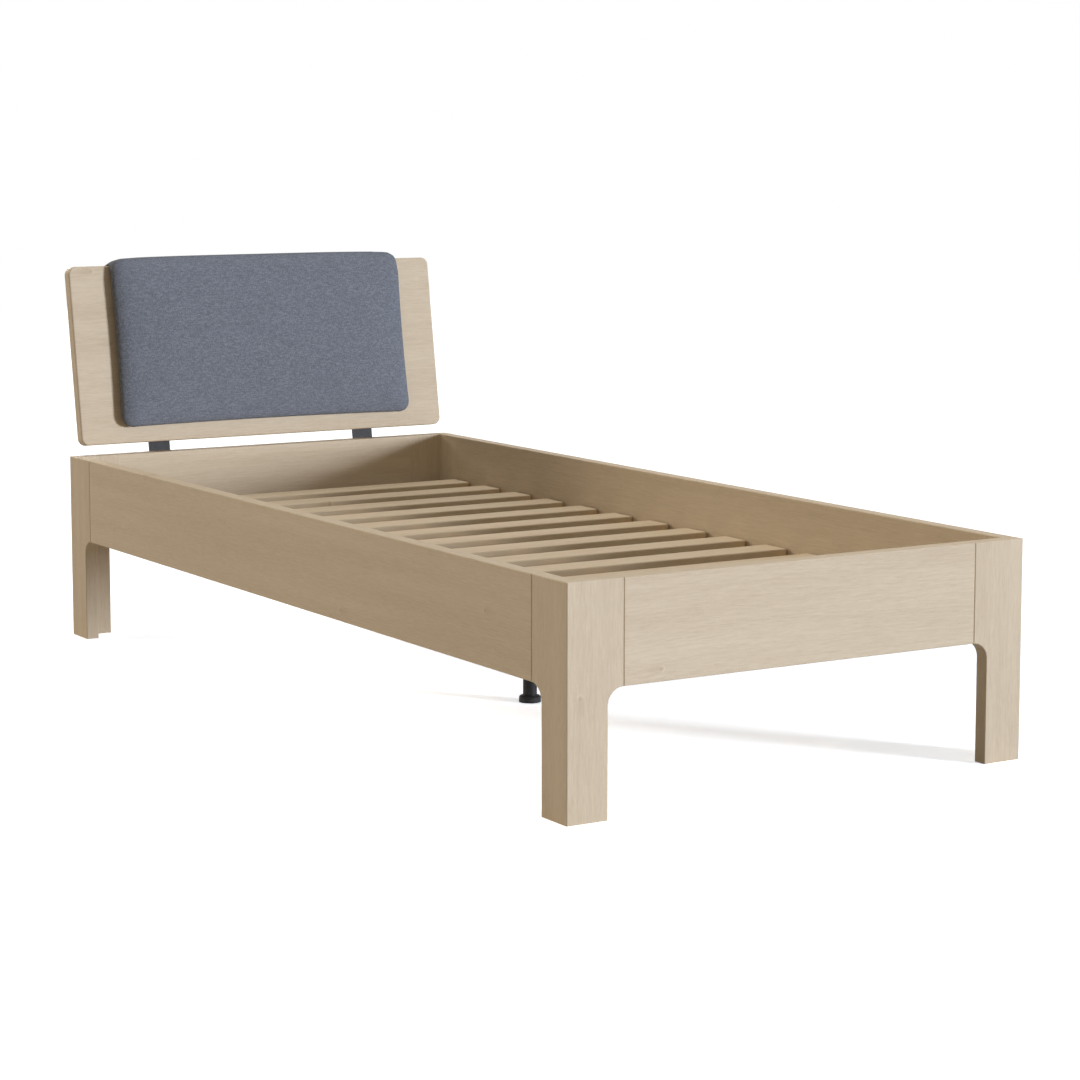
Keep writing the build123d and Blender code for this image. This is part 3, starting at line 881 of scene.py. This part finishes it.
@dataclass
class Surround:
    """The four legs and four rails, with the joinery inside them."""

    wood: Wood = OAK

    def dress(self) -> None:
        """Give boards the oak in their own grain direction, and the joinery its wood and steel."""
        corners = [corner.value for corner in Corner]
        dress([f"{corner}_leg_end_board" for corner in corners], self.wood.material(Cut.UPRIGHT_END))
        dress([f"{corner}_leg_side_board" for corner in corners], self.wood.material(Cut.UPRIGHT_SIDE))
        dress(["foot_rail", "head_rail"], self.wood.material(Cut.ACROSS_BED))
        dress(["left_side_rail", "right_side_rail"], self.wood.material(Cut.ALONG_BED))
        dress(["rail_dowels"], BEECH.material(Cut.FLAT_ALONG))
        dress(["mitre_tongues"], BEECH.material(Cut.UPRIGHT_END))
        dress([f"{corner}_bracket" for corner in corners], POWDER_COAT.material())


@dataclass
class SlatBase:
    """Ledgers, slats, the two tapes stapled under the slats to space them, and the centre beam."""

    slat_count: int = 14
    tape_sag: float = 0.8 * MM
    tape_steps_across: int = 6
    tape_steps_per_slat: int = 10
    staple_span: float = 12 * MM
    staple_wire: tuple[float, float] = (1.2 * MM, 0.7 * MM)
    staple_leg: float = 8 * MM
    staple_bevel: float = 0.175 * MM
    slats: list[str] = field(init=False)

    def __post_init__(self) -> None:
        """Name the slats in order."""
        self.slats = [f"slat_{index + 1:02d}" for index in range(self.slat_count)]

    def dress(self) -> None:
        """Give slats, ledgers and beam their woods."""
        dress(self.slats, BIRCH.material(Cut.FLAT_ACROSS))
        dress(["left_slat_ledger", "right_slat_ledger", "centre_beam"], PINE.material(Cut.ALONG_BED))

    def tape(self, side: str, cloth: Finish) -> None:
        """Model one webbing tape, held flat under the slats and sagging a little between them.

        Args:
            side: Left or right.
            cloth: Its finish.
        """
        node = f"{side}_slat_tape"
        low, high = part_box(node)
        size = high - low
        middle = (low + high) / 2
        steps = self.tape_steps_per_slat * (self.slat_count - 1)
        mesh = bmesh.new()
        bmesh.ops.create_grid(mesh, x_segments=self.tape_steps_across, y_segments=steps, size=0.5)
        bmesh.ops.scale(mesh, vec=(size.x, size.y, 1.0), verts=mesh.verts)
        bmesh.ops.translate(mesh, vec=(middle.x, middle.y, high.z), verts=mesh.verts)
        spans = [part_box(slat) for slat in self.slats]
        gaps = [(here[1].y, there[0].y) for here, there in zip(spans, spans[1:])]
        for vert in mesh.verts:
            for start, end in gaps:
                if start < vert.co.y < end:
                    vert.co.z -= self.tape_sag * math.sin(math.pi * (vert.co.y - start) / (end - start))
        bmesh.ops.recalc_face_normals(mesh, faces=mesh.faces)
        bmesh.ops.solidify(mesh, geom=mesh.faces[:], thickness=size.z)
        shift = high.z - max(vert.co.z for vert in mesh.verts)
        bmesh.ops.translate(mesh, vec=(0.0, 0.0, shift), verts=mesh.verts)
        bmesh.ops.recalc_face_normals(mesh, faces=mesh.faces)
        made = piece(f"{side}_webbing_tape", mesh, cloth, smooth=False)
        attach(made, "frame")
        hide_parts(node)

    def staple(self) -> Shape:
        """Model one wire staple, its crown's top at Z 0 and its legs pointing up.

        Returns:
            The staple.
        """
        width, depth = self.staple_wire
        mesh = bmesh.new()
        bmesh.ops.create_cube(mesh, size=1.0)
        bmesh.ops.scale(mesh, vec=(self.staple_span, width, depth), verts=mesh.verts)
        bmesh.ops.translate(mesh, vec=(0.0, 0.0, -depth / 2), verts=mesh.verts)
        shoulder = self.staple_span / 2 - depth
        for side in (-shoulder, shoulder):
            split(mesh, (side, 0.0, 0.0), (1.0, 0.0, 0.0), clear=False)
        upper = [face for face in mesh.faces if face.normal.z > 0.5]
        feet = [face for face in upper if abs(face.calc_center_median().x) > shoulder]
        legs = bmesh.ops.extrude_discrete_faces(mesh, faces=feet)["faces"]
        raised = list({vert for face in legs for vert in face.verts})
        bmesh.ops.translate(mesh, vec=(0.0, 0.0, self.staple_leg), verts=raised)
        sharp = [edge for edge in mesh.edges if edge.calc_face_angle(0.0) > SHARP_EDGE]
        ease(mesh, sharp, self.staple_bevel, segments=1)
        return mesh

    def staples(self, finish: Finish) -> None:
        """Staple both tapes to every slat from below.

        Args:
            finish: The wire's finish.
        """
        mesh = bmesh.new()
        for side in ("left", "right"):
            tape_low, tape_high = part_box(f"{side}_slat_tape")
            for slat in self.slats:
                low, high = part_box(slat)
                spot = ((tape_low.x + tape_high.x) / 2, (low.y + high.y) / 2, tape_low.z)
                add(mesh, self.staple(), Matrix.Translation(spot))
        made = piece("tape_staples", mesh, finish, smooth=False)
        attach(made, "frame")

    def build(self) -> None:
        """Model the soft pieces of the base and what holds them."""
        cloth = TAPE_WEAVE.material()
        for side in ("left", "right"):
            self.tape(side, cloth)
        self.staples(ZINC.material())


@dataclass
class Ironmongery:
    """Hangers, uprights, bolts, screws and the centre leg."""

    countersunk: WoodScrew = WoodScrew(HeadForm.COUNTERSUNK)
    pan: WoodScrew = WoodScrew(HeadForm.PAN, head_height=3 * MM)
    stud_thread: Thread = Thread(crest=7 * MM, root=5.9 * MM, pitch=2 * MM, steps=32)
    plug_radius: float = 11.9 * MM
    plug_length: float = 15 * MM
    flange: float = 3 * MM
    stud_bevel: float = 0.5 * MM
    stud_segments: int = 48

    def dress(self) -> None:
        """Give each metal and plastic node its finish."""
        dress(["bracket_bolts", "headboard_bolts"], BLACK_OXIDE.material())
        dress(["left_headboard_upright", "right_headboard_upright"], POWDER_COAT.material())
        hidden = ["bracket_inserts", "headboard_inserts"]
        screws = ["ledger_screws", "slat_screws", "hanger_screws", "centre_leg_screws"]
        hangers = ["foot_beam_hanger", "head_beam_hanger"]
        dress(hidden + screws + hangers + ["centre_leg_stud"], ZINC.material())
        dress(["centre_leg_plate", "centre_leg_sleeve", "centre_leg_tube"], POWDER_COAT.material())
        dress(["centre_leg_pad"], MOULDED.material())

    def stud(self, finish: Finish) -> None:
        """Turn the centre leg's stud: an end plug for the tube, a flange and a real thread.

        Args:
            finish: The stud's finish.
        """
        low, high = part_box("centre_leg_stud")
        middle = (low + high) / 2
        flange_radius = (high.x - low.x) / 2
        flange_foot = low.z + self.plug_length
        flange_top = flange_foot + self.flange
        mesh = bmesh.new()
        bmesh.ops.create_circle(mesh, cap_ends=True, segments=self.stud_segments, radius=self.plug_radius)
        bmesh.ops.translate(mesh, vec=(0.0, 0.0, low.z), verts=mesh.verts)
        outline = (
            (self.plug_radius, flange_foot),
            (flange_radius, flange_foot),
            (flange_radius, flange_top),
            (self.stud_thread.root, flange_top),
        )
        turn_outline(mesh, outline)
        close(mesh)
        rims = [edge for edge in mesh.edges if edge.calc_face_angle_signed(0.0) > SHARP_EDGE]
        ease(mesh, rims, self.stud_bevel, segments=2)
        self.stud_thread.wind(mesh, flange_top - self.flange / 2, high.z)
        bmesh.ops.translate(mesh, vec=(middle.x, middle.y, 0.0), verts=mesh.verts)
        made = piece("centre_leg_threaded_stud", mesh, finish, smooth=False)
        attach(made, "centre_leg")
        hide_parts("centre_leg_stud")

    def build(self) -> None:
        """Model the screws and the centre leg's stud."""
        finish = ZINC.material()
        for node in ("ledger_screws", "slat_screws"):
            self.countersunk.replace(node, finish)
        for node in ("hanger_screws", "centre_leg_screws"):
            self.pan.replace(node, finish)
        self.stud(finish)


@dataclass
class Headboard:
    """The leaning panel, and the padded cushion hung over its top edge."""

    tilt: float = math.radians(9.0)
    panel_thickness: float = 28 * MM
    voxel: float = 6 * MM
    start_shrink: float = 2 * MM
    pressure: float = 4.0
    most_swell: float = 2.5 * MM
    last_frame: int = 20
    end_reach: float = 60 * MM
    end_lift: float = 4 * MM
    contact: float = 5 * MM
    held_share: float = 0.2
    loose_share: float = 0.5
    least_lean: float = 0.02
    even_rounds: int = 3
    end_rounds: int = 14
    proud: float = 2 * MM
    tuck: float = 12 * MM
    tuck_depth: float = 18 * MM
    tuck_rim: float = 40 * MM
    bow: float = 9 * MM
    end_drop: float = 4 * MM
    uv_map: str = "weave"
    slope: Matrix = field(init=False)
    panel_top: float = field(init=False)

    def __post_init__(self) -> None:
        """Find the leaning plane: X across, Y up the slope, Z forward, with the panel's back at Z 0."""
        up = Vector((0.0, math.sin(self.tilt), math.cos(self.tilt)))
        forward = Vector((0.0, -math.cos(self.tilt), math.sin(self.tilt)))
        turn = Matrix((Vector((1.0, 0.0, 0.0)), up, forward)).transposed()
        places = [turn.transposed() @ vert.co for vert in NODES["headboard_panel"].data.vertices]
        back = min(place.z for place in places)
        self.slope = Matrix.Translation(forward * back) @ turn.to_4x4()
        self.panel_top = max(place.y for place in places)

    def dress(self) -> None:
        """Give the panel its oak, with the grain across it."""
        dress(["headboard_panel"], OAK.material(Cut.ACROSS_BED))

    def laid(self, data: bpy.types.Mesh) -> list[Vector]:
        """The points of a mesh, in the leaning plane."""
        to_slope = self.slope.inverted()
        return [to_slope @ vert.co for vert in data.vertices]

    def facings(self, data: bpy.types.Mesh) -> list[Vector]:
        """The way that each point of a mesh faces, in the leaning plane."""
        turn = self.slope.inverted().to_3x3()
        return [turn @ vert.normal for vert in data.vertices]

    def put(self, pad: bpy.types.Object, places: Sequence[Vector]) -> None:
        """Move the pad's points to new places in the leaning plane."""
        for vert, place in zip(pad.data.vertices, places):
            vert.co = self.slope @ place

    def skin(self) -> bpy.types.Object:
        """Cover the cushion's solid with one even skin, a little clear of the panel at the ends of its roll.

        Returns:
            The skin, as a loose object.
        """
        mesh = bmesh.new()
        mesh.from_mesh(NODES["headboard_cushion"].data)
        bmesh.ops.remove_doubles(mesh, verts=mesh.verts, dist=WELD)
        rough = piece("headboard_cushion_pad", mesh, CLOTH.material(self.uv_map))
        remesh = rough.modifiers.new("skin", "REMESH")
        remesh.mode = "VOXEL"
        remesh.voxel_size = self.voxel
        self.apply(rough)
        places = self.laid(rough.data)
        half = max(abs(place.x) for place in places)
        for place, facing in zip(places, self.facings(rough.data)):
            place -= facing * self.start_shrink * self.free(place)
            past = (abs(place.x) - (half - self.end_reach)) / self.end_reach
            if past > 0 and facing.y < 0 and abs(place.y - self.panel_top) < self.contact:
                place.y += self.end_lift * past
        self.put(rough, places)
        return rough

    def free(self, place: Vector) -> float:
        """How free a point of the cushion is to move: 0 against the panel, 1 away from it."""
        gap = max(place.z - self.panel_thickness, -place.z, place.y - self.panel_top)
        return min(1.0, max(0.0, gap / self.contact - self.held_share))

    def apply(self, obj: bpy.types.Object) -> None:
        """Make an object's modifiers real.

        Args:
            obj: The object.
        """
        graph = bpy.context.evaluated_depsgraph_get()
        data = bpy.data.meshes.new_from_object(obj.evaluated_get(graph))
        obj.modifiers.clear()
        obj.data = data

    def stuff(self, pad: bpy.types.Object) -> None:
        """Fill the skin by cloth simulation, held where it lies on the panel.

        Args:
            pad: The skin.
        """
        rest = [vert.co.copy() for vert in pad.data.vertices]
        held = pad.vertex_groups.new(name="held")
        for index, place in enumerate(self.laid(pad.data)):
            held.add([index], 1.0 - self.free(place), "REPLACE")
        cloth = pad.modifiers.new("stuffing", "CLOTH")
        cloth.settings.use_pressure = True
        cloth.settings.uniform_pressure_force = self.pressure
        cloth.settings.effector_weights.gravity = 0.0
        cloth.settings.vertex_group_mass = "held"
        scene = bpy.context.scene
        for step in range(1, self.last_frame + 1):
            scene.frame_set(step)
        self.apply(pad)
        scene.frame_set(1)
        for vert, start in zip(pad.data.vertices, rest):
            moved = vert.co - start
            if moved.length > self.most_swell:
                vert.co = start + moved.normalized() * self.most_swell
        pad.vertex_groups.clear()

    def even(self, pad: bpy.types.Object) -> None:
        """Smooth the skin where it is free of the panel.

        Args:
            pad: The stuffed skin.
        """
        mesh = bmesh.new()
        mesh.from_mesh(pad.data)
        places = self.laid(pad.data)
        half = max(place.x for place in places)
        end_start = half - self.end_reach
        roll_foot = self.panel_top - self.end_reach / 2
        spots = [spot for spot in zip(mesh.verts, places) if self.free(spot[1]) > self.loose_share]
        loose = [vert for vert, _ in spots]
        ends = [vert for vert, place in spots if abs(place.x) > end_start and place.y > roll_foot]
        for group, rounds in ((loose, self.even_rounds), (ends, self.end_rounds)):
            for _ in range(rounds):
                bmesh.ops.smooth_vert(
                    mesh, verts=group, factor=0.5, use_axis_x=True, use_axis_y=True, use_axis_z=True
                )
        mesh.to_mesh(pad.data)
        mesh.free()

    def draw_in(self, pad: bpy.types.Object) -> None:
        """Draw the pad's rim in where it meets the panel's face.

        Args:
            pad: The stuffed skin.
        """
        places = self.laid(pad.data)
        half = max(abs(place.x) for place in places)
        foot = min(place.y for place in places)
        for place in places:
            gap = (place.z - self.panel_thickness) / self.tuck_depth
            below = (self.panel_top - place.y) / self.tuck_rim
            pull = self.tuck * max(0.0, 1.0 - max(0.0, gap)) ** 2 * min(1.0, max(0.0, below))
            side = max(0.0, 1.0 - (half - abs(place.x)) / self.tuck_rim)
            lower = max(0.0, 1.0 - (place.y - foot) / self.tuck_rim)
            place.x -= math.copysign(pull * side, place.x)
            place.y += pull * lower
        self.put(pad, places)

    def fill_solid(self, pad: bpy.types.Object) -> None:
        """Stretch the stuffed skin to the solid's reach on every side of the panel.

        Args:
            pad: The stuffed skin.
        """
        solid = self.laid(NODES["headboard_cushion"].data)
        places = self.laid(pad.data)
        panel = (
            (0.0, 0.0, self.proud),
            (self.panel_top, self.panel_top, 0.0),
            (0.0, self.panel_thickness, 0.0),
        )
        for axis, (near, far, proud) in enumerate(panel):
            reach = [place[axis] for place in places]
            target = [place[axis] for place in solid]
            shrink = (min(target) - proud - near) / (min(reach) - near)
            grow = (max(target) + proud - far) / (max(reach) - far)
            for place in places:
                if place[axis] < near:
                    place[axis] = near + (place[axis] - near) * shrink
                elif place[axis] > far:
                    place[axis] = far + (place[axis] - far) * grow
        self.put(pad, places)

    def crown(self, pad: bpy.types.Object) -> None:
        """Bow the front out towards its middle and let the ends of the roll drop.

        Args:
            pad: The stuffed skin.
        """
        places = self.laid(pad.data)
        half, top, front = (max(place[axis] for place in places) for axis in range(3))
        low = min(place.y for place in places)
        for place in places:
            across = min(1.0, abs(place.x) / half)
            height = (2 * place.y - low - top) / (top - low)
            proud = max(0.0, place.z - self.panel_thickness) / (front - self.panel_thickness)
            over = max(0.0, place.y - self.panel_top) / (top - self.panel_top)
            place.z += self.bow * proud * (1 - across**2) * (1 - height**2)
            place.y -= self.end_drop * over * across**4
        self.put(pad, places)

    def lay_weave(self, pad: bpy.types.Object) -> None:
        """Unroll the cushion's cover onto a flat map, in metres: front, edges and over the roll.

        Args:
            pad: The finished cushion.
        """
        places = self.laid(pad.data)
        low, high = extent(places)
        top, front = high.y, high.z
        middle = (low.y + top) / 2
        spots = []
        for place, facing in zip(places, self.facings(pad.data)):
            depth = front - place.z
            lean = facing.x**2 + facing.y**2 + self.least_lean
            across = place.x + math.copysign(depth * facing.x**2 / lean, place.x)
            if facing.z < 0 and place.z < self.panel_thickness / 2:
                up = 2 * top - place.y + depth
            else:
                up = place.y + math.copysign(depth * facing.y**2 / lean, place.y - middle)
            spots.append((across, up))
        flat_map = pad.data.uv_layers.new(name=self.uv_map)
        corners = [value for loop in pad.data.loops for value in spots[loop.vertex_index]]
        flat_map.data.foreach_set("uv", corners)

    def build(self) -> None:
        """Model the cushion and hang it on the panel."""
        pad = self.skin()
        self.stuff(pad)
        self.even(pad)
        self.fill_solid(pad)
        self.crown(pad)
        self.draw_in(pad)
        finer = pad.modifiers.new("finer", "SUBSURF")
        finer.levels = finer.render_levels = 1
        self.apply(pad)
        pad.data.polygons.foreach_set("use_smooth", [True] * len(pad.data.polygons))
        self.lay_weave(pad)
        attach(pad, "cushion")
        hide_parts("headboard_cushion")


@dataclass(frozen=True)
class Lamp:
    """A soft rectangular lamp that faces the bed from far away, its angles in degrees.

    Its azimuth turns from the foot end towards the bed's right side.
    """

    name: str
    azimuth: float
    elevation: float
    size: tuple[float, float]
    level: float
    tint: Colour
    spares_floor: bool = False
    distance: float = 30.0
    aim: Vector = Vector((0.0, 0.0, 0.3)).freeze()

    def hang(self, floor: bpy.types.Object) -> None:
        """Hang the lamp.

        Args:
            floor: The floor, which some lamps leave unlit.
        """
        turn, rise = math.radians(self.azimuth), math.radians(self.elevation)
        flat = math.cos(rise)
        away = Vector((math.sin(turn) * flat, -math.cos(turn) * flat, math.sin(rise)))
        lamp = bpy.data.lights.new(self.name, "AREA")
        lamp.shape = "RECTANGLE"
        lamp.size, lamp.size_y = self.size
        lamp.energy = self.level * math.pi**2 * self.distance**2
        lamp.color = self.tint
        stand = bpy.data.objects.new(self.name, lamp)
        stand.location = away * self.distance + self.aim
        stand.rotation_euler = away.to_track_quat("Z", "Y").to_euler()
        bpy.context.scene.collection.objects.link(stand)
        if self.spares_floor:
            spared = bpy.data.collections.new(f"{self.name}_spares")
            spared.objects.link(floor)
            spared.collection_objects[0].light_linking.link_state = "EXCLUDE"
            stand.light_linking.receiver_collection = spared


COOL_LIGHT = (1.0, 1.075, 1.21)
WARM_LIGHT = (1.0, 0.885, 0.740)
PLAIN_LIGHT = (1.0, 0.97, 0.93)
KEY = Lamp("key", azimuth=33.0, elevation=5.0, size=(5.2, 5.0), level=0.835, tint=COOL_LIGHT)
FILL = Lamp("fill", azimuth=-135.0, elevation=20.0, size=(12.0, 10.0), level=0.37, tint=WARM_LIGHT)
TOP = Lamp(
    "top", azimuth=180.0, elevation=80.0, size=(10.0, 10.0), level=0.4, tint=PLAIN_LIGHT, spares_floor=True
)
BACK = Lamp(
    "back", azimuth=170.0, elevation=8.0, size=(8.0, 6.0), level=0.3, tint=PLAIN_LIGHT, spares_floor=True
)


@dataclass
class Studio:
    """A pale floor, soft light and the camera at the photograph's angle."""

    camera_place: Vector = field(default_factory=lambda: Vector((-2.8866, -4.9334, 1.129)))
    camera_yaw: float = math.radians(31.485)
    camera_pitch: float = math.radians(6.947)
    camera_lens: float = 95.122
    camera_shift: float = -0.06
    floor_half: float = 12.0
    floor_albedo: Colour = (0.84, 0.78, 0.68)
    floor_shown: float = 3.3
    floor_glow: Colour = (0.15, 0.27, 0.40)
    sky: float = 0.19
    sky_tint: Colour = WARM_LIGHT
    lamps: tuple[Lamp, ...] = (KEY, FILL, TOP, BACK)

    def camera(self) -> None:
        """Stand the camera where the photograph was taken from."""
        data = bpy.data.cameras.new("camera")
        data.lens = self.camera_lens
        data.shift_y = self.camera_shift
        stand = bpy.data.objects.new("camera", data)
        stand.location = self.camera_place
        stand.rotation_euler = (math.pi / 2 - self.camera_pitch, 0.0, -self.camera_yaw)
        bpy.context.scene.collection.objects.link(stand)
        bpy.context.scene.camera = stand

    def seen(self, graph: Graph) -> Socket:
        """Tell what shows from what only lights.

        Args:
            graph: The material or sky in the making.

        Returns:
            A switch that is 1 where the camera, or a mirror or glass, looks straight at a surface.
        """
        path = graph.node("LightPath").outputs
        seen = graph.math("MAXIMUM", path["Is Camera Ray"], path["Is Glossy Ray"])
        return graph.math("MAXIMUM", seen, path["Is Transmission Ray"])

    def floor(self) -> bpy.types.Object:
        """Lay a pale floor that shows white, keeps the bed's shadow and is clear from below.

        Returns:
            The floor.
        """
        mesh = bmesh.new()
        bmesh.ops.create_grid(mesh, x_segments=1, y_segments=1, size=self.floor_half)
        graph = Graph(bpy.data.materials.new("floor"))
        lit = graph.node("BsdfDiffuse", {"Color": (*self.floor_albedo, 1.0)})
        shown = graph.node("BsdfDiffuse", {"Color": (self.floor_shown,) * 3 + (1.0,)})
        glow = graph.node("Emission", {"Color": (*self.floor_glow, 1.0), "Strength": 1.0})
        white = graph.node("AddShader", {0: shown.outputs[0], 1: glow.outputs[0]})
        both = graph.node("MixShader", {0: self.seen(graph), 1: lit.outputs[0], 2: white.outputs[0]})
        below = graph.node("NewGeometry").outputs["Backfacing"]
        clear = graph.node("BsdfTransparent")
        sided = graph.node("MixShader", {0: below, 1: both.outputs[0], 2: clear.outputs[0]})
        graph.node("OutputMaterial", {"Surface": sided.outputs[0]})
        laid = piece("floor", mesh, graph.owner)
        return laid

    def light(self, floor: bpy.types.Object) -> None:
        """Hang the lamps under a plain pale sky that shows white.

        Args:
            floor: The floor.
        """
        for lamp in self.lamps:
            lamp.hang(floor)
        graph = Graph(bpy.data.worlds.new("sky"))
        bpy.context.scene.world = graph.owner
        tint = tuple(self.sky * share for share in self.sky_tint)
        shown = graph.mix(self.seen(graph), tint, (1.0, 1.0, 1.0))
        back = graph.node("Background", {"Color": shown, "Strength": 1.0})
        graph.node("OutputWorld", {"Surface": back.outputs[0]})

    def build(self) -> None:
        """Set the whole stage."""
        bpy.context.scene.view_settings.view_transform = "Standard"
        self.camera()
        self.light(self.floor())


def main() -> None:
    """Dress the frame, model the soft pieces and set the stage."""
    logging.basicConfig(level=logging.INFO, format="%(message)s")
    base = SlatBase()
    metal = Ironmongery()
    headboard = Headboard()
    for assembly in (Surround(), base, metal, headboard):
        assembly.dress()
    for assembly in (base, metal, headboard):
        assembly.build()
    Studio().build()


if __name__ == "__main__":
    main()
